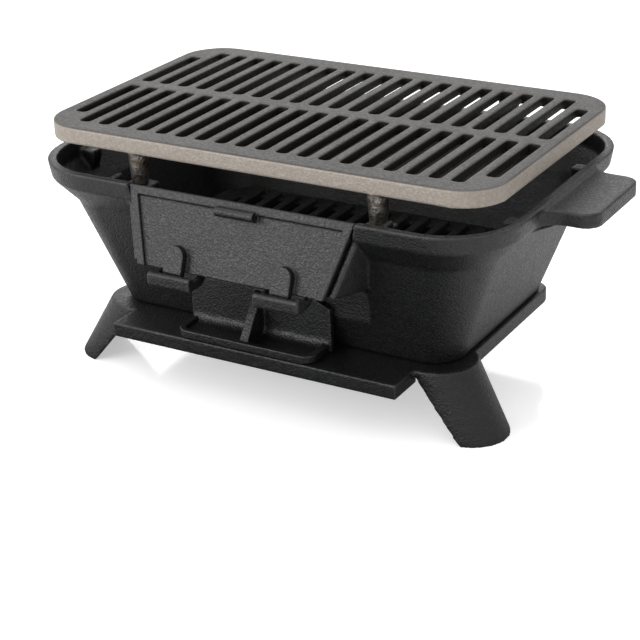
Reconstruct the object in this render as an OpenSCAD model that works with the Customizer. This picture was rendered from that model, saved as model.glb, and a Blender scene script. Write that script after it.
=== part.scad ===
// Tabletop cast-iron hibachi grill: a tapered fire bowl on a three-legged base,
// with a slotted cooking grate, a charcoal grate, a fire door and a draft door.
// Origin on the ground, centred under the whole grill. +X is the bowl's long way,
// -Y faces the doors, +Z is up. Millimetres. Shapes are drawn with the bowl's middle
// at Y = 0, and in_frame() moves each node so that the whole grill is centred.

/* [Cooking grate] */
// Length of the cooking grate, left to right
grate_l = 400; // [396:1:402]
// Width of the cooking grate, front to back
grate_w = 250; // [246:1:254]
// Depth of the cooking grate over its rim
grate_t = 14; // [12:1:16]
// Thickness of the bars between the cooking grate's slots
grate_bar_t = 7.4; // [4:0.2:8]
// Radius of the grate's corners in plan
grate_corner_r = 36; // [32:1:40]
// Slots in each of the two rows
slot_count = 21; // [17:2:21]
// Width of one slot
slot_w = 10; // [8:0.1:11]
// Air gap between the bowl's rim and the underside of the grate
grate_gap = 18; // [14:1:24]

/* [Fire bowl] */
// Length of the bowl over its rim
rim_l = 420; // [418:1:426]
// Width of the bowl over its rim
rim_w = 284; // [282:1:288]
// Height of the rim above the ground
rim_h = 180; // [179:0.5:182]
// Length of the bowl's flat bottom
bottom_l = 309; // [300:1:314]
// Width of the bowl's flat bottom
bottom_w = 184; // [182:1:186]
// Thickness of the bowl's walls and floor
wall = 6; // [5:0.5:7]
// Reach of each end handle beyond the rim
handle_reach = 40; // [32:1:46]
// Width of each end handle
handle_w = 92; // [80:1:100]

/* [Base] */
// Height of the deck that the bowl stands on
deck_h = 53.5; // [52:0.5:55]
// Depth of the deck's edge
skirt_h = 12; // [10:1:14]
// Outer radius of a leg's curved shell
leg_r = 32; // [31:0.5:34]
// Outward slope of the legs from upright, in degrees
leg_tilt = 30.5; // [28:0.5:33]

/* [Doors] */
// Width of the fire door along its top edge
door_top_w = 200; // [192:1:204]
// Width of the fire door along its bottom edge
door_bottom_w = 166; // [160:1:170]
// Backward lean of the closed fire door, in degrees
door_lean = 20.3; // [18:0.1:22]
// Width of the draft door's upright plate
draft_w = 130; // [126:1:134]
// Sideways place of the draft door from the middle of the grill
draft_offset = -6; // [-8:0.5:8]

/* [Hidden] */
eps = 0.01;
$fn = 64;

iron_black = [0.13, 0.13, 0.14];
iron_bare = [0.45, 0.43, 0.41];
steel_plated = [0.62, 0.62, 0.64];

// Cooking grate
slot_pitch = (grate_l - 31.4) / (slot_count - 1);
slot_end_r = 3;
slot_row_near = 6.7;
slot_row_far = grate_w / 2 - 19.4;
slot_corner_cut = 19.3;
grate_z = rim_h + grate_gap;
ledge_z = rim_h - 8.5;
leg_x = 107;
leg_y = 115;
grate_lip_t = 6;
grate_spine_w = 10;
grate_spine_drop = 4;
grate_leg_top_r = 8.5;
grate_leg_tip_r = 6.7;

// Bowl: outer levels from the bottom up, each [height, length, width, corner radius]
band_h = 14;
slope_h = 20.5;
outer_levels = [
    [deck_h, bottom_l, bottom_w, 24],
    [rim_h - band_h - slope_h, rim_l - 44, rim_w - 42.5, 40],
    [rim_h - band_h, rim_l - 5, rim_w - 4, 60],
    [rim_h, rim_l, rim_w, 62],
];
rim_t = 7.4;
floor_z = deck_h + wall;
floor_bevel = wall * 0.35;

// Porch: the spout on the front wall that the fire door closes
door_bottom_y = -160;
door_bottom_z = 123;
door_len = (rim_h - 0.3 - door_bottom_z) / cos(door_lean);
door_t = 7.4;
door_panel_drop = 3;
door_top_border = 6.8;
door_side_border = 6.8;
door_gap = 1;
door_seat = 8;
porch_front = 5;
porch_cheek_t = 5;
porch_low_half = 100;
porch_high_half = 110;
porch_lip = 4;
porch_floor_t = 5;
porch_back_y = -94;
porch_under_z = 123.5;
porch_under_slope = 0.19;

// Fire door hinge: two straps hook behind bars under the porch
strap_x = 48;
strap_w = 16.5;
strap_out = 3.8;
strap_top = 19.8;
tail_top = -1.3;
tail_back_y = -158.5;
tail_bottom_z = 116.8;
bar_w = 39;
bar_front_y = -170.2;
bar_back_y = -164.5;
bar_top_z = 122.5;
bar_bottom_z = 111.5;
bar_edge_r = 1;
web_w = 4;
web_top_z = 119.5;
web_rise_y = -151.5;
web_back_y = -139;

// Draft opening and draft door
draft_face_y = -101;
draft_face_t = 6;
draft_recess_half = 92;
draft_recess_top = 112;
draft_panel_half = draft_recess_half + 4;
draft_cap_t = 9;
draft_open_half = 45;
draft_open_top = 84;
draft_open_bevel = 12;
draft_gap = 1;
draft_lift = 0.3;
draft_plate_t = 5;
draft_shoulder = 6;
draft_shoulder_w = 14;
draft_top_z = 96;
draft_shelf_half = 63;
draft_shelf_t = 3.6;
draft_lip_h = 6.6;
draft_lip_t = 5;
draft_fillet_r = 8;
draft_rib_t = 7.5;

// Base
deck_half_l = 158.5;
deck_back_y = 93;
deck_corner_r = 14;
tray_half_l = 130;
tray_front_y = -136.5;
tray_corner_r = 3;
plate_t = 6;
skirt_t = 5;
leg_t = 5.4;
leg_roof = 0.6;
deck_front_y = -78.3;
front_leg_at = [131, -74.5];
rear_leg_at = [0, 51.7];
front_leg_heading = -12;
leg_cut_top = 5;
leg_cut_foot = 16;

// Charcoal grate
coal_l = 310;
coal_w = 188;
coal_t = 8;
coal_top_z = 94;
coal_corner_r = 28;
coal_slots = 15;
coal_slot_w = 8.4;
coal_margin = 20;
coal_rib_w = 8;
coal_rib_h = 4;

// Fasteners that clamp the bowl to the base
bolt_x = 95;
bolt_r = 3;
bolt_hole_r = 3.3;
bolt_head_r = 6.8;
bolt_head_h = 3.6;
washer_r = 8;
washer_t = 1.5;
nut_r = 5.77;
nut_h = 5;
thread_tip = 3;
thread_clear = 0.05;

// ---- Shared shapes ----

// Moves a node from the bowl's middle to the middle of the whole grill
module in_frame()
    translate([0, -(bar_front_y + rim_w / 2) / 2, 0]) children();

// Rectangle with round corners, centred on the origin
module rounded_rect(l, w, r) {
    square([l - 2 * r, w], center = true);
    square([l, w - 2 * r], center = true);
    for (x = [-1, 1], y = [-1, 1])
        translate([x * (l / 2 - r), y * (w / 2 - r)]) circle(r);
}

// Slot that runs along Y from y0 to y1 at x, with small round corners
module slot(x, y0, y1, w, r) {
    translate([x, (y0 + y1) / 2]) rounded_rect(w, y1 - y0, r);
}

// Both mirror images of a child across the YZ plane
module both_sides() {
    children();
    mirror([1, 0, 0]) children();
}

// One tapered course of the bowl between two levels, shrunk by inset on every side
module course(low, high, inset_low, inset_high) {
    hull() {
        level_sheet(low, inset_low, 0);
        level_sheet(high, inset_high, -eps);
    }
}

module level_sheet(level, inset, shift) {
    translate([0, 0, level[0] + shift])
        linear_extrude(eps)
            rounded_rect(level[1] - 2 * inset, level[2] - 2 * inset, level[3] - inset);
}

// Profile drawn in the YZ plane, extruded along X between two places
module extrude_x(x0, x1) {
    translate([x0, 0, 0]) rotate([90, 0, 90]) linear_extrude(x1 - x0) children();
}

// Profile drawn in the XZ plane, extruded along Y between two places
module extrude_y(y0, y1) {
    translate([0, y1, 0]) rotate([90, 0, 0]) linear_extrude(y1 - y0) children();
}

// Children drawn flat in [x, up the door] are stood up in the closed door's plane.
// Local z = 0 is the door's front face and +z points away from the grill.
module door_plane() {
    translate([0, door_bottom_y, door_bottom_z]) rotate([90 - door_lean, 0, 0]) children();
}

// Point in the YZ plane: up the door from its bottom edge, and out from its front face
function door_point(up, out) = [
    door_bottom_y + up * sin(door_lean) - out * cos(door_lean),
    door_bottom_z + up * cos(door_lean) + out * sin(door_lean),
];

function door_half(up) = (door_bottom_w + (door_top_w - door_bottom_w) * up / door_len) / 2;

// Trapezoid of the fire door, shrunk by side and grown at its two ends
module door_outline(side, below, above) {
    up0 = -below;
    up1 = door_len + above;
    polygon([
        [side - door_half(up0), up0], [door_half(up0) - side, up0],
        [door_half(up1) - side, up1], [side - door_half(up1), up1],
    ]);
}

// ---- Cooking grate ----

module cooking_grate() color(iron_bare) in_frame() {
    bars_z = grate_z + grate_t - grate_bar_t;
    difference() {
        translate([0, 0, grate_z])
            linear_extrude(grate_t) rounded_rect(grate_l, grate_w, grate_corner_r);
        translate([0, 0, grate_z - 1])
            linear_extrude(bars_z - grate_z + 1)
                rounded_rect(
                    grate_l - 2 * grate_lip_t, grate_w - 2 * grate_lip_t, grate_corner_r - grate_lip_t
                );
        translate([0, 0, bars_z - 1])
            linear_extrude(grate_bar_t + 2)
                for (i = [0 : slot_count - 1], side = [-1, 1]) grate_slot(i, side);
    }
    translate([1 - grate_l / 2, -grate_spine_w / 2, bars_z - grate_spine_drop])
        cube([grate_l - 2, grate_spine_w, grate_spine_drop + 1]);
    for (x = [-1, 1], y = [-1, 1]) translate([x * leg_x, y * leg_y, 0]) grate_leg(bars_z);
}

// Tapered foot with a straight boss that joins it to the bars
module grate_leg(bars_z) {
    translate([0, 0, ledge_z])
        cylinder(r1 = grate_leg_tip_r, r2 = grate_leg_top_r, h = grate_z - ledge_z);
    translate([0, 0, grate_z]) cylinder(r = grate_leg_top_r, h = bars_z - grate_z + 1);
}

module grate_slot(i, side) {
    at_end = i == 0 || i == slot_count - 1;
    far = slot_row_far - (at_end ? slot_corner_cut : 0);
    x = (i - (slot_count - 1) / 2) * slot_pitch;
    mid = side * (slot_row_near + far) / 2;
    half = (far - slot_row_near) / 2;
    slot(x, mid - half, mid + half, slot_w, slot_end_r);
}

// ---- Charcoal grate ----

module charcoal_grate() color(iron_black) in_frame() {
    translate([0, 0, coal_top_z - coal_t])
        linear_extrude(coal_t)
            difference() {
                rounded_rect(coal_l, coal_w, coal_corner_r);
                for (i = [0 : coal_slots - 1], side = [-1, 1]) coal_slot(i, side);
            }
    // Raised ribs between the slots keep the charcoal off the plate
    for (i = [1 : coal_slots - 1], side = [-1, 1])
        translate([(i - coal_slots / 2) * slot_pitch, side * coal_w / 4, coal_top_z - eps])
            linear_extrude(coal_rib_h)
                rounded_rect(coal_rib_w, coal_w / 2 - coal_margin, coal_rib_w / 2 - eps);
}

module coal_slot(i, side) {
    at_end = i == 0 || i == coal_slots - 1;
    far = coal_w / 2 - coal_margin - (at_end ? 8 : 0);
    x = (i - (coal_slots - 1) / 2) * slot_pitch;
    mid = side * (slot_row_near + far) / 2;
    half = (far - slot_row_near) / 2;
    slot(x, mid - half, mid + half, coal_slot_w, coal_slot_w / 2 - eps);
}

// ---- Fire bowl ----

module fire_bowl() color(iron_black) in_frame()
    difference() {
        union() {
            for (i = [0 : 2]) course(outer_levels[i], outer_levels[i + 1], 0, 0);
            handles();
            porch_outside();
            draft_panel();
            both_sides() hinge_bar();
        }
        difference() {
            bowl_inside();
            bowl_inner_lugs();
        }
        porch_inside();
        door_pocket();
        draft_recess();
        draft_opening();
        both_sides() bolt_hole(deck_h - 1, floor_z + 1);
    }

module bowl_inside() {
    low = [floor_z, bottom_l + floor_bevel, bottom_w + floor_bevel, 24];
    course(low, outer_levels[1], wall, wall);
    course(outer_levels[1], outer_levels[2], wall, rim_t - 0.4);
    course(outer_levels[2], [rim_h + eps * 2, rim_l, rim_w, 62], rim_t - 0.4, rim_t);
}

// Everything that stands inside the cavity: ledges, lugs and the draft panel with its cap
module bowl_inner_lugs() {
    cap_in = 12;
    both_sides() {
        leg_ledge();
        mirror([0, 1, 0]) leg_ledge();
        for (y = [-64.5, 64.5]) end_lug(y);
        for (y = [-42, 42]) coal_lug(y);
    }
    draft_panel();
    translate([-draft_panel_half, draft_face_y - cap_in, draft_recess_top])
        cube([2 * draft_panel_half, cap_in + draft_face_t, draft_cap_t]);
}

// Bracket under each cooking grate leg, with a raised stop on its outer side
module leg_ledge() {
    ledge_half = 11.5;
    ledge_edge_t = 6;
    bracket_drop = 34;
    stop_t = 5;
    stop_drop = 20;
    stop_clear = 6;
    reach = leg_y - grate_leg_top_r - 2;
    extrude_x(leg_x - ledge_half, leg_x + ledge_half)
        polygon([
            [-rim_w / 2, ledge_z], [-reach, ledge_z],
            [-reach, ledge_z - ledge_edge_t], [-rim_w / 2, ledge_z - bracket_drop],
        ]);
    translate([leg_x + ledge_half - eps, -rim_w / 2, ledge_z - stop_drop])
        cube([stop_t, rim_w / 2 - leg_y - stop_clear, rim_h - ledge_z + stop_drop]);
}

// Lug on an end wall that carries the cooking grate in its low place
module end_lug(y) {
    lug_half = 6;
    lug_z = ledge_z + 0.5;
    lug_edge_t = 5.5;
    tip_x = 186;
    root_x = rim_l / 2;
    bracket_drop = 48.5;
    translate([0, y, 0])
        extrude_y(-lug_half, lug_half)
            polygon([
                [root_x, lug_z], [tip_x, lug_z], [tip_x, lug_z - lug_edge_t],
                [root_x - 8, lug_z - bracket_drop],
            ]);
}

// Lug low on an end wall that carries the charcoal grate
module coal_lug(y) {
    lug_half = 9;
    lug_edge_t = 6;
    tip_x = 144;
    root_x = 176;
    foot_inset = 8;
    seat_z = coal_top_z - coal_t;
    translate([0, y, 0])
        extrude_y(-lug_half, lug_half)
            polygon([
                [root_x, seat_z], [tip_x, seat_z], [tip_x, seat_z - lug_edge_t],
                [tip_x + foot_inset, floor_z - 1], [root_x, floor_z - 1],
            ]);
}

// Flat grips at the two ends, flush with the rim and filleted into it
module handles() {
    grip_t = 12;
    grip_drop = 2.5;
    grip_corner_r = 13;
    fillet_r = 22;
    fillet_in = 2;
    root_in = 20;
    cavity_clear = 8;
    root_x = rim_l / 2 - 3;
    tip_x = rim_l / 2 + handle_reach;
    grip_z = rim_h - grip_drop - grip_t;
    both_sides() {
        translate([0, 0, grip_z])
            linear_extrude(grip_t)
                difference() {
                    union() {
                        translate([root_x - root_in, -handle_w / 2])
                            square([tip_x - root_x + root_in - grip_corner_r, handle_w]);
                        translate([tip_x - 2 * grip_corner_r, 0])
                            rounded_rect(4 * grip_corner_r, handle_w, grip_corner_r);
                        translate([root_x - fillet_in, -handle_w / 2 - fillet_r])
                            square([fillet_r, handle_w + 2 * fillet_r]);
                    }
                    for (y = [-1, 1])
                        translate([root_x - fillet_in + fillet_r, y * (handle_w / 2 + fillet_r)])
                            circle(fillet_r);
                    square([2 * (root_x - cavity_clear), rim_w], center = true);
                }
        handle_web(root_x, grip_z);
    }
}

// Sloping web under the grip that carries it down into the flare of the rim
module handle_web(root_x, top_z) {
    inset = 4;
    web_in = 19;
    web_out = 14;
    web_drop = 16;
    extrude_y(inset - handle_w / 2, handle_w / 2 - inset)
        polygon([
            [root_x - web_in, top_z - web_drop], [root_x + web_out, top_z + eps],
            [root_x - web_in, top_z + eps],
        ]);
}

// Y at height z of a plane parallel to the door, at a depth behind its front face
function plane_y(depth, z) =
    door_bottom_y + (depth + (z - door_bottom_z) * sin(door_lean)) / cos(door_lean);

// Porch seen from its side: behind a leaning front plane, from its underside up to top
module porch_side(depth, rise, top) {
    low = porch_under_z + rise;
    drop = porch_under_slope * (porch_back_y - plane_y(depth, low));
    polygon([
        [plane_y(depth, low), low], [porch_back_y, low - drop],
        [porch_back_y, top], [plane_y(depth, top), top],
    ]);
}

// Slanted sides seen from the front: half widths at the door's bottom edge and at the rim
module slanted_sides(low_half, high_half) {
    slant = (high_half - low_half) / (rim_h - door_bottom_z);
    half0 = low_half - 20 * slant;
    half1 = high_half + 3 * slant;
    polygon([
        [-half0, door_bottom_z - 20], [half0, door_bottom_z - 20],
        [half1, rim_h + 3], [-half1, rim_h + 3],
    ]);
}

// The porch narrows from the wall to a leaning front edge that frames the door
module porch_outside() {
    front_low = (porch_under_z - door_bottom_z + porch_front * sin(door_lean)) / cos(door_lean);
    intersection() {
        hull() {
            door_plane()
                translate([0, 0, -porch_front])
                    linear_extrude(eps) door_outline(-door_gap - porch_cheek_t, -front_low, 4);
            intersection() {
                extrude_x(-rim_l / 2, rim_l / 2) porch_side(porch_front, 0, rim_h + 4);
                extrude_y(porch_back_y - eps, porch_back_y)
                    slanted_sides(porch_low_half, porch_high_half);
            }
        }
        translate([-rim_l / 2, -rim_w, 0]) cube([rim_l, rim_w, rim_h]);
    }
}

module porch_inside()
    intersection() {
        extrude_x(-rim_l / 2, rim_l / 2) porch_side(door_seat - 1, porch_floor_t, rim_h + 2);
        extrude_y(-rim_w, 0)
            slanted_sides(door_bottom_w / 2 - porch_lip, door_top_w / 2 - porch_lip);
    }

// Pocket that the closed door sits in, open to the front and the top
module door_pocket()
    door_plane()
        translate([0, 0, -door_seat]) linear_extrude(40) door_outline(-door_gap, 1, 6);

// Upright face above the draft opening, from where the sloping wall reaches it
module draft_panel() {
    wall_slope = (outer_levels[1][2] - outer_levels[0][2]) / 2 / (outer_levels[1][0] - deck_h);
    fold_z = deck_h + (-draft_face_y - bottom_w / 2) / wall_slope;
    translate([-draft_panel_half, draft_face_y, fold_z])
        cube([2 * draft_panel_half, draft_face_t, draft_recess_top + draft_cap_t - fold_z]);
}

module draft_recess() {
    translate([-draft_recess_half, draft_face_y - 40, deck_h - 1])
        cube([2 * draft_recess_half, 40, draft_recess_top - deck_h + 1]);
}

module draft_opening() {
    shoulder_z = draft_open_top - draft_open_bevel;
    top_half = draft_open_half - draft_open_bevel;
    extrude_y(draft_face_y - 30, draft_face_y + 30)
        polygon([
            [-draft_open_half, floor_z], [draft_open_half, floor_z],
            [draft_open_half, shoulder_z], [top_half, draft_open_top],
            [-top_half, draft_open_top], [-draft_open_half, shoulder_z],
        ]);
}

// Bar that one strap of the fire door hooks behind, carried by a web at each end
module hinge_bar() {
    edge = 1;
    left = strap_x - bar_w / 2;
    right = strap_x + bar_w / 2;
    extrude_x(left, right)
        polygon([
            [bar_front_y, bar_bottom_z + edge], [bar_front_y + edge, bar_bottom_z],
            [bar_back_y, bar_bottom_z], [bar_back_y, bar_top_z - bar_edge_r],
            [bar_back_y - bar_edge_r, bar_top_z],
            [bar_front_y + edge, bar_top_z], [bar_front_y, bar_top_z - edge],
        ]);
    // Round edge that the door turns on
    translate([left, bar_back_y - bar_edge_r, bar_top_z - bar_edge_r])
        rotate([0, 90, 0]) cylinder(r = bar_edge_r, h = bar_w);
    for (x = [left, right - web_w])
        extrude_x(x, x + web_w)
            polygon([
                [bar_back_y - edge, bar_bottom_z], [web_rise_y, bar_bottom_z],
                [web_back_y, web_top_z], [web_back_y, porch_under_z + 1],
                [web_rise_y, porch_under_z + 1], [web_rise_y, web_top_z], [bar_back_y - edge, web_top_z],
            ]);
}

// ---- Fire door ----

module fire_door() color(iron_black) in_frame() {
    door_plane() {
        difference() {
            translate([0, 0, -door_t]) linear_extrude(door_t) door_outline(0, 0, 0);
            translate([0, 0, -door_panel_drop])
                linear_extrude(door_panel_drop + 1)
                    door_outline(door_side_border, 1, -door_top_border);
        }
        both_sides() strap();
        finger_tab();
    }
    both_sides() strap_tail();
}

// Raised strap with a round top on the lower part of the door
module strap()
    translate([strap_x, 0, -door_t / 2])
        linear_extrude(door_t / 2 + strap_out) {
            translate([-strap_w / 2, 0]) square([strap_w, strap_top - strap_w / 2]);
            translate([0, strap_top - strap_w / 2]) circle(strap_w / 2);
        }

// Tail of the strap, straight down behind its bar
module strap_tail() {
    corner = door_point(tail_top, strap_out);
    extrude_x(strap_x - strap_w / 2, strap_x + strap_w / 2)
        polygon([
            [corner[0], tail_bottom_z + 1], [corner[0] + 1, tail_bottom_z],
            [tail_back_y - 1, tail_bottom_z], [tail_back_y, tail_bottom_z + 1],
            [tail_back_y, door_bottom_z + 3], door_point(2, strap_out), corner,
        ]);
}

// Lip just under the top border for a finger or a lifting tool
module finger_tab() {
    tab_w = 34;
    tab_h = 7.5;
    tab_out = 6;
    top = door_len - 5;
    translate([-tab_w / 2, top - tab_h, -door_panel_drop - 1])
        cube([tab_w, tab_h, door_panel_drop + 1 + tab_out - tab_h / 2]);
    translate([-tab_w / 2, top - tab_h / 2, tab_out - tab_h / 2])
        rotate([0, 90, 0]) cylinder(r = tab_h / 2, h = tab_w);
}

// ---- Draft door ----

module draft_door() color(iron_black) in_frame() translate([draft_offset, 0, deck_h + draft_lift]) {
    plate_front = draft_face_y - draft_gap - draft_plate_t;
    shelf_front = tray_front_y + 0.5;
    top = draft_top_z - deck_h - draft_lift;
    half = draft_w / 2;
    // Upright plate with sloping shoulders
    extrude_y(plate_front, plate_front + draft_plate_t)
        polygon([
            [-half, 0], [half, 0], [half - 1, top - draft_shoulder], [half - draft_shoulder_w, top],
            [draft_shoulder_w - half, top], [1 - half, top - draft_shoulder],
        ]);
    // Shelf with a raised lip round its front and sides
    linear_extrude(draft_shelf_t) shelf_outline(plate_front, shelf_front, 0);
    linear_extrude(draft_lip_h)
        difference() {
            shelf_outline(plate_front, shelf_front, 0);
            shelf_outline(plate_front, shelf_front, draft_lip_t);
        }
    // Round fillet where the plate rises from the shelf
    difference() {
        translate([-draft_shelf_half, plate_front - draft_fillet_r, 0])
            cube([2 * draft_shelf_half, draft_fillet_r + eps, draft_shelf_t + draft_fillet_r]);
        translate([-draft_w, plate_front - draft_fillet_r, draft_shelf_t + draft_fillet_r])
            rotate([0, 90, 0]) cylinder(r = draft_fillet_r, h = 2 * draft_w);
    }
    // Upright rib in the middle, the finger grip
    extrude_x(-draft_rib_t / 2, draft_rib_t / 2)
        polygon([
            [plate_front + eps, 1], [plate_front + eps, top - 2], [plate_front - 2, top - 2.5],
            [shelf_front + 2, draft_lip_h - 1.4], [shelf_front + 2, 1],
        ]);
}

// Plan of the draft door's shelf from the plate to the front, shrunk by inset
module shelf_outline(plate_front, shelf_front, inset) {
    corner = 11 - inset;
    half = draft_shelf_half - inset;
    front = shelf_front + inset;
    back = plate_front + (inset > 0 ? 1 : eps);
    translate([-half, front + corner]) square([2 * half, back - front - corner]);
    translate([corner - half, front]) square([2 * (half - corner), corner + eps]);
    for (x = [-1, 1]) translate([x * (half - corner), front + corner]) circle(corner);
}

// ---- Base ----

module base() color(iron_black) in_frame()
    difference() {
        union() {
            translate([0, 0, deck_h - plate_t]) linear_extrude(plate_t) deck_outline(0);
            translate([0, 0, deck_h - skirt_h])
                linear_extrude(skirt_h)
                    difference() {
                        deck_outline(0);
                        deck_outline(skirt_t);
                    }
            each_leg() leg_solid();
        }
        each_leg() leg_cylinder(leg_r - leg_t, plate_t + leg_roof);
        both_sides() bolt_hole(deck_h - skirt_h, deck_h + 1);
    }

// Plan of the deck: the part under the bowl, and the tray in front of it
module deck_outline(inset) {
    half = deck_half_l - inset;
    back = deck_back_y - inset;
    front = deck_front_y;
    corner = deck_corner_r - inset;
    translate([0, front]) rear_corners_rect(half, back - front, corner);
    translate([-(tray_half_l - inset), tray_front_y + inset])
        square([2 * (tray_half_l - inset), front - tray_front_y - inset + 30]);
}

// Rectangle that starts at y = 0, with only its two far corners round
module rear_corners_rect(half, depth, r) {
    translate([-half, 0]) square([2 * half, depth - r]);
    translate([-half + r, 0]) square([2 * (half - r), depth]);
    for (x = [-1, 1]) translate([x * (half - r), depth - r]) circle(r);
}

// The child is placed at each leg with its local +X pointing the way the leg leans
module each_leg() {
    for (side = [0, 1])
        mirror([side, 0, 0])
            translate([front_leg_at[0], front_leg_at[1], deck_h])
                rotate([0, 0, front_leg_heading]) children();
    translate([rear_leg_at[0], rear_leg_at[1], deck_h]) rotate([0, 0, 90]) children();
}

// Leaning cylinder around a leg's axis, cut level at drop below the deck and at the ground
module leg_cylinder(r, drop) {
    reach = (deck_h + 40) / cos(leg_tilt);
    intersection() {
        rotate([0, -leg_tilt, 0]) cylinder(r = r, h = 2 * reach, center = true);
        translate([-100, -60, -deck_h]) cube([200, 120, deck_h - drop]);
    }
}

// One leg before it is hollowed, open on the side that faces the middle of the grill
module leg_solid() {
    axis_at_foot = deck_h * tan(leg_tilt);
    axis_at_skirt = skirt_h * tan(leg_tilt);
    run = (axis_at_foot + leg_cut_foot - axis_at_skirt - leg_cut_top) / (deck_h - skirt_h);
    top_cut = axis_at_skirt + leg_cut_top - run * skirt_h;
    intersection() {
        leg_cylinder(leg_r, 0);
        extrude_y(-50, 50)
            polygon([[top_cut, 1], [100, 1], [100, -deck_h - 1], [top_cut + run * (deck_h + 1), -deck_h - 1]]);
    }
}

// ---- Fasteners ----

module bolt_hole(z0, z1) {
    translate([bolt_x, 0, z0]) cylinder(r = bolt_hole_r, h = z1 - z0);
}

// Domed bolts: heads on the bowl's floor, threads through the deck
module base_bolts() color(steel_plated) in_frame() both_sides() {
    tip_z = deck_h - plate_t - washer_t - nut_h - thread_tip;
    translate([bolt_x, 0, tip_z]) cylinder(r = bolt_r, h = floor_z - tip_z + eps);
    translate([bolt_x, 0, floor_z]) bolt_head();
}

// Low dome, part of a ball that is as wide as the head at its seat
module bolt_head() {
    ball_r = (pow(bolt_head_r, 2) + pow(bolt_head_h, 2)) / (2 * bolt_head_h);
    intersection() {
        translate([0, 0, bolt_head_h - ball_r]) sphere(r = ball_r);
        cylinder(r = bolt_head_r + 1, h = bolt_head_h + 1);
    }
}

module base_washers() color(steel_plated) in_frame() both_sides()
    translate([bolt_x, 0, deck_h - plate_t - washer_t])
        difference() {
            cylinder(r = washer_r, h = washer_t);
            translate([0, 0, -1]) cylinder(r = bolt_hole_r, h = washer_t + 2);
        }

module base_nuts() color(steel_plated) in_frame() both_sides()
    translate([bolt_x, 0, deck_h - plate_t - washer_t - nut_h])
        difference() {
            cylinder(r = nut_r, h = nut_h, $fn = 6);
            translate([0, 0, -1]) cylinder(r = bolt_r + thread_clear, h = nut_h + 2);
        }

base();
fire_bowl();
charcoal_grate();
cooking_grate();
fire_door();
draft_door();
base_bolts();
base_washers();
base_nuts();
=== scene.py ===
"""Looks for a cast-iron hibachi grill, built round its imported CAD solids."""

import math

import bpy
from mathutils import Matrix, Vector


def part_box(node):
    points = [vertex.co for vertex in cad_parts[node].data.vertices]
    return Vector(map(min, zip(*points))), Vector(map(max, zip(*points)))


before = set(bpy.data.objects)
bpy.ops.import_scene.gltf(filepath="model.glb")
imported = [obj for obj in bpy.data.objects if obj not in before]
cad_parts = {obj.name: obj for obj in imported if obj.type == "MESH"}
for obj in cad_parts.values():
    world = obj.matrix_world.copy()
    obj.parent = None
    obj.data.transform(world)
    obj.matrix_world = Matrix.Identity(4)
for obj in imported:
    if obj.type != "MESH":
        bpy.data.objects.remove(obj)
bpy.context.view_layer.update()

MM = 0.001
GRATE_SLAB_T = 14 * MM
GRATE_CORNER_R = 36 * MM


# ---- Materials ----


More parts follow.
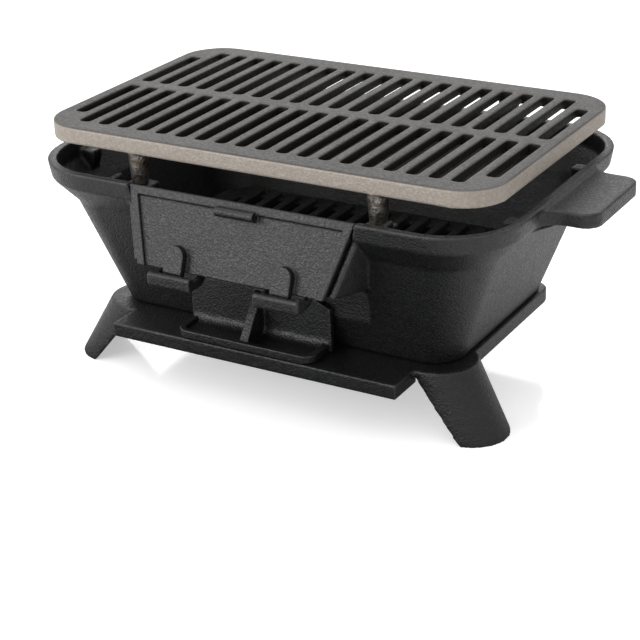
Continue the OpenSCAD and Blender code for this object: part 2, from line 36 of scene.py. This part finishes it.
class Surface:
    """A node material built step by step round one Principled shader."""

    def __init__(self, name):
        self.material = bpy.data.materials.new(name)
        self.material.use_nodes = True
        self.tree = self.material.node_tree
        self.shader = self.tree.nodes["Principled BSDF"]
        self.place = self.node("ShaderNodeTexCoord").outputs["Object"]

    def node(self, kind, **settings):
        made = self.tree.nodes.new(kind)
        for key, value in settings.items():
            setattr(made, key, value)
        return made

    def feed(self, socket, value):
        """Links value into socket, or sets it there when it is a plain number or colour."""
        if isinstance(value, bpy.types.NodeSocket):
            self.tree.links.new(value, socket)
        else:
            socket.default_value = value

    def noise(self, size, detail=3.0, roughness=0.55):
        """Cloudy pattern from 0 to 1 whose blotches are about size metres across."""
        made = self.node("ShaderNodeTexNoise")
        self.feed(made.inputs["Vector"], self.place)
        self.feed(made.inputs["Scale"], 1 / size)
        self.feed(made.inputs["Detail"], detail)
        self.feed(made.inputs["Roughness"], roughness)
        return made.outputs["Fac"]

    def pebbles(self, size):
        """Grains about size metres across, like the print of moulding sand."""
        made = self.node("ShaderNodeTexVoronoi", feature="SMOOTH_F1")
        self.feed(made.inputs["Vector"], self.place)
        self.feed(made.inputs["Scale"], 1 / size)
        self.feed(made.inputs["Smoothness"], 0.6)
        return made.outputs["Distance"]

    def between(self, value, low, high, to_low=0.0, to_high=1.0):
        """Value remapped from low..high to to_low..to_high, and held inside it."""
        made = self.node("ShaderNodeMapRange", interpolation_type="SMOOTHSTEP")
        for socket, number in zip(made.inputs, (value, low, high, to_low, to_high)):
            self.feed(socket, number)
        return made.outputs["Result"]

    def calc(self, operation, first, second=0.0):
        made = self.node("ShaderNodeMath", operation=operation)
        self.feed(made.inputs[0], first)
        self.feed(made.inputs[1], second)
        return made.outputs["Value"]

    def axes(self, vector):
        """The X, Y and Z of a vector as three numbers."""
        made = self.node("ShaderNodeSeparateXYZ")
        self.feed(made.inputs["Vector"], vector)
        return made.outputs

    def blend(self, share, first, second):
        """First colour where share is 0, second where it is 1."""
        made = self.node("ShaderNodeMix", data_type="RGBA")
        self.feed(made.inputs["Factor"], share)
        self.feed(made.inputs["A"], first)
        self.feed(made.inputs["B"], second)
        return made.outputs["Result"]

    def from_core(self, low, high, corner_r):
        """Distance in plan from the inner rectangle that a slab's round corners grow from."""
        middle = (low + high) / 2
        squares = []
        for axis in (0, 1):
            offset = self.calc("SUBTRACT", self.axes(self.place)[axis], middle[axis])
            past = self.calc("SUBTRACT", self.calc("ABSOLUTE", offset), high[axis] - middle[axis] - corner_r)
            squares.append(self.calc("POWER", self.calc("MAXIMUM", past), 2.0))
        return self.calc("SQRT", self.calc("ADD", *squares))

    def upright(self):
        """1 where the surface stands upright, 0 where it lies flat."""
        normal = self.node("ShaderNodeNewGeometry").outputs["Normal"]
        return self.between(self.calc("ABSOLUTE", self.axes(normal)[2]), 0.8, 0.3)

    def worn_edges(self, start, full):
        """1 on outward edges, 0 on flats and in corners."""
        point = self.node("ShaderNodeNewGeometry").outputs["Pointiness"]
        return self.between(point, start, full)

    def bump(self, *layers):
        """Stacks bump layers, each (height, depth in metres)."""
        normal = None
        for height, depth in layers:
            made = self.node("ShaderNodeBump")
            self.feed(made.inputs["Height"], height)
            self.feed(made.inputs["Distance"], depth)
            if normal is not None:
                self.feed(made.inputs["Normal"], normal)
            normal = made.outputs["Normal"]
        self.feed(self.shader.inputs["Normal"], normal)

    def finish(self, colour, roughness, metallic=0.0, specular=0.5):
        self.feed(self.shader.inputs["Base Color"], colour)
        self.feed(self.shader.inputs["Roughness"], roughness)
        self.feed(self.shader.inputs["Metallic"], metallic)
        self.feed(self.shader.inputs["Specular IOR Level"], specular)
        return self.material


def grey(level, warm=0.0):
    """Opaque grey, tinted warm when warm is above 0 and cool when below."""
    return (level * (1 + warm), level, level * (1 - warm), 1.0)


def sand_grain(surface, fine, coarse):
    """Bump layers of a sand casting: fine pebbles over a slow ripple."""
    surface.bump(
        (surface.noise(28 * MM, detail=2), coarse * 1.5),
        (surface.noise(3.2 * MM, detail=4, roughness=0.65), coarse),
        (surface.pebbles(1.5 * MM), fine),
    )


def seasoned_iron(name):
    """Black oiled casting with a satin, sandy skin and rubbed edges."""
    s = Surface(name)
    cloud = s.between(s.noise(70 * MM, detail=5), 0.35, 0.65)
    speck = s.between(s.noise(2.6 * MM, detail=3, roughness=0.7), 0.42, 0.68)
    edges = s.calc("MULTIPLY", s.worn_edges(0.505, 0.56), s.between(s.noise(9 * MM), 0.3, 0.6, 0.35, 1.0))
    body = s.blend(cloud, grey(0.002, -0.04), grey(0.005, -0.02))
    body = s.blend(s.calc("MULTIPLY", speck, 0.5), body, grey(0.016, -0.05))
    body = s.blend(s.calc("MULTIPLY", edges, 0.4), body, grey(0.07, 0.0))
    sheen = s.between(s.noise(2.2 * MM, detail=3, roughness=0.7), 0.35, 0.65, 0.34, 0.52)
    sand_grain(s, fine=0.3 * MM, coarse=0.4 * MM)
    return s.finish(body, sheen, metallic=0.05, specular=0.6)


def sooty_iron(name):
    """Casting dulled by soot and ash, for the grate that lies in the fire."""
    s = Surface(name)
    ash = s.between(s.noise(30 * MM, detail=5), 0.4, 0.7)
    body = s.blend(ash, grey(0.003, 0.02), grey(0.009, 0.05))
    dull = s.between(s.noise(3 * MM, detail=3), 0.3, 0.7, 0.6, 0.8)
    sand_grain(s, fine=0.2 * MM, coarse=0.4 * MM)
    return s.finish(body, dull, specular=0.25)


def bare_iron(name, low, high, slab_t, corner_r):
    """Grey unoiled casting of a slab on legs: painted light making the rim's outer faces warm and pale,
    painted shade darkening the slot walls, bright streaked legs.
    """
    s = Surface(name)
    height = s.axes(s.place)[2]
    slab_low = high.z - slab_t

    def below_slab(on_slab, on_legs):
        return s.between(height, slab_low, slab_low - 3 * MM, on_slab, on_legs)

    outside = s.between(s.from_core(low, high, corner_r), corner_r - 4 * MM, corner_r - 1.5 * MM)
    # Painted light: this mask picks the upright outer faces of the slab, which are coloured far paler than
    # the top to stand in for the front light on them.
    painted_light_rim = s.calc("MULTIPLY", outside, s.upright())
    # Painted shade: this mask picks the upright walls inside the slots, which get little light, so they can
    # be coloured near black.
    painted_shade_slot_walls = s.calc("MULTIPLY", s.calc("SUBTRACT", 1.0, outside), s.upright())
    legs = below_slab(0.0, 1.0)
    cloud = s.between(s.noise(55 * MM, detail=5), 0.35, 0.65)
    speck = s.between(s.noise(2.4 * MM, detail=3, roughness=0.7), 0.4, 0.7)
    streak = s.between(s.noise(7 * MM, detail=5, roughness=0.7), 0.45, 0.62)
    body = s.blend(cloud, grey(0.045, 0.06), grey(0.066, 0.04))
    body = s.blend(s.calc("MULTIPLY", speck, 0.5), body, grey(0.11, 0.05))
    body = s.blend(s.worn_edges(0.505, 0.55), body, grey(0.13, 0.06))
    # Painted shade: the slot walls are coloured near black.
    body = s.blend(painted_shade_slot_walls, body, grey(0.012, 0.1))
    # Painted light: the rim's outer faces get a pale warm grey instead of the top's dark grey.
    body = s.blend(painted_light_rim, body, s.blend(speck, grey(0.29, 0.14), grey(0.37, 0.11)))
    body = s.blend(legs, body, s.blend(streak, grey(0.3, 0.05), grey(0.11, 0.25)))
    dull = s.between(s.noise(2.2 * MM, detail=3, roughness=0.7), 0.35, 0.65, 0.48, 0.64)
    sand_grain(s, fine=0.26 * MM, coarse=0.36 * MM)
    return s.finish(body, below_slab(dull, 0.36), metallic=below_slab(0.3, 0.9), specular=0.4)


def zinc_steel(name):
    """Plated fastener steel, slightly clouded, with fine turning marks."""
    s = Surface(name)
    cloud = s.between(s.noise(4 * MM, detail=4), 0.35, 0.65)
    body = s.blend(cloud, grey(0.42, -0.02), grey(0.6, 0.01))
    dull = s.between(s.noise(1.5 * MM, detail=3), 0.3, 0.7, 0.28, 0.45)
    s.bump((s.noise(0.5 * MM, detail=2), 0.02 * MM))
    return s.finish(body, dull, metallic=0.95)


# ---- Cast shapes ----


def cast_skin(obj, voxel, rounds, share):
    """Gives a CAD solid the soft edges of a sand casting, keeping share of the faces."""
    skin = obj.modifiers.new("skin", "REMESH")
    skin.mode = "VOXEL"
    skin.voxel_size = voxel
    skin.use_smooth_shade = True
    soften = obj.modifiers.new("soften", "SMOOTH")
    soften.factor = 0.5
    soften.iterations = rounds
    thin = obj.modifiers.new("thin", "DECIMATE")
    thin.ratio = share


def machined_edges(obj, width):
    """Small even bevels on the edges of a turned or stamped fastener."""
    weld = obj.modifiers.new("weld", "WELD")
    weld.merge_threshold = 0.01 * MM
    bevel = obj.modifiers.new("edge", "BEVEL")
    bevel.width = width
    bevel.segments = 2
    bevel.limit_method = "ANGLE"


def dress(node, material):
    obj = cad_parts[node]
    obj.data.materials.clear()
    obj.data.materials.append(material)
    return obj


def dress_grill():
    black = seasoned_iron("seasoned_iron")
    cast_skin(dress("fire_bowl", black), 1.3 * MM, rounds=4, share=0.3)
    cast_skin(dress("base", black), 1.1 * MM, rounds=4, share=0.3)
    cast_skin(dress("fire_door", black), 0.7 * MM, rounds=1, share=0.3)
    cast_skin(dress("draft_door", black), 0.8 * MM, rounds=2, share=0.3)
    cast_skin(dress("charcoal_grate", sooty_iron("sooty_iron")), 1.3 * MM, rounds=3, share=0.3)

    bare = bare_iron("bare_iron", *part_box("cooking_grate"), GRATE_SLAB_T, GRATE_CORNER_R)
    cast_skin(dress("cooking_grate", bare), 1.1 * MM, rounds=4, share=0.3)

    plated = zinc_steel("zinc_steel")
    for node in ("base_bolts", "base_washers", "base_nuts"):
        machined_edges(dress(node, plated), 0.3 * MM)


# ---- Stage ----


def floor_material():
    """White glossy sheet with pale shadows, dim close in front of the grill in its reflections."""
    s = Surface("floor")
    s.finish(grey(1.0), s.between(s.noise(0.3), 0.3, 0.7, 0.1, 0.14), specular=0.5)
    s.feed(s.shader.inputs["Emission Color"], grey(1.0))
    s.feed(s.shader.inputs["Emission Strength"], 0.45)
    near = s.node("ShaderNodeVectorMath", operation="DISTANCE")
    s.feed(near.inputs[0], s.place)
    s.feed(near.inputs[1], (-0.02, -0.206, 0))
    bounce = s.node("ShaderNodeBsdfDiffuse")
    shade = s.between(near.outputs["Value"], 0.16, 0.34)
    s.feed(bounce.inputs["Color"], s.blend(shade, grey(0.1), grey(0.9)))
    swap = s.node("ShaderNodeMixShader")
    s.feed(swap.inputs["Fac"], s.node("ShaderNodeLightPath").outputs["Is Camera Ray"])
    s.feed(swap.inputs[1], bounce.outputs["BSDF"])
    s.feed(swap.inputs[2], s.shader.outputs["BSDF"])
    s.feed(s.tree.nodes["Material Output"].inputs["Surface"], swap.outputs["Shader"])
    return s.material


def add_floor():
    bpy.ops.mesh.primitive_plane_add(size=12)
    floor = bpy.context.object
    floor.name = "floor"
    floor.data.materials.append(floor_material())


def add_sky():
    """Studio light all round, strongest overhead and weaker low down and from the right."""
    world = bpy.data.worlds.new("studio")
    bpy.context.scene.world = world
    world.use_nodes = True
    tree = world.node_tree
    place = tree.nodes.new("ShaderNodeTexCoord")
    parts = tree.nodes.new("ShaderNodeSeparateXYZ")
    tree.links.new(place.outputs["Generated"], parts.inputs["Vector"])
    product = tree.nodes.new("ShaderNodeMath")
    product.operation = "MULTIPLY"
    ramps = (("Z", 0.0, 0.7, 0.45, 1.3), ("X", 0.9, -0.5, 0.6, 1.15))
    for factor, (axis, low, high, dim, bright) in zip(product.inputs, ramps):
        ramp = tree.nodes.new("ShaderNodeMapRange")
        tree.links.new(parts.outputs[axis], ramp.inputs["Value"])
        for socket, number in zip(("From Min", "From Max", "To Min", "To Max"), (low, high, dim, bright)):
            ramp.inputs[socket].default_value = number
        tree.links.new(ramp.outputs["Result"], factor)
    background = tree.nodes["Background"]
    background.inputs["Color"].default_value = grey(1.0)
    tree.links.new(product.outputs["Value"], background.inputs["Strength"])


def softbox(name, place, target, width, height, glow):
    """Rectangular area light; glow is how bright its face is beside white."""
    light = bpy.data.lights.new(name, "AREA")
    light.shape = "RECTANGLE"
    light.size = width
    light.size_y = height
    light.energy = glow * math.pi * width * height
    lamp = bpy.data.objects.new(name, light)
    bpy.context.scene.collection.objects.link(lamp)
    lamp.location = place
    lamp.rotation_euler = (Vector(target) - Vector(place)).to_track_quat("-Z", "Y").to_euler()


def add_lights():
    middle = (0, 0, 0.12)
    softbox("front_box", (-1.2, -2.0, 0.95), middle, 1.3, 0.9, 5.0)
    softbox("back_box", (-1.0, 1.7, 1.1), middle, 1.4, 0.8, 2.0)


def add_camera():
    azimuth, elevation, roll = math.radians(30.79), math.radians(24.52), math.radians(-1.95)
    lens = bpy.data.cameras.new("camera")
    lens.sensor_width = 36
    lens.lens = 98.7
    camera = bpy.data.objects.new("camera", lens)
    bpy.context.scene.collection.objects.link(camera)
    turn = Matrix.Rotation(azimuth, 4, "Z") @ Matrix.Rotation(math.pi / 2 - elevation, 4, "X")
    camera.matrix_world = Matrix.Translation((0.6839, -1.1579, 0.6452)) @ turn @ Matrix.Rotation(roll, 4, "Z")
    bpy.context.scene.camera = camera


dress_grill()
add_floor()
add_sky()
add_lights()
add_camera()
bpy.context.scene.view_settings.view_transform = "Standard"
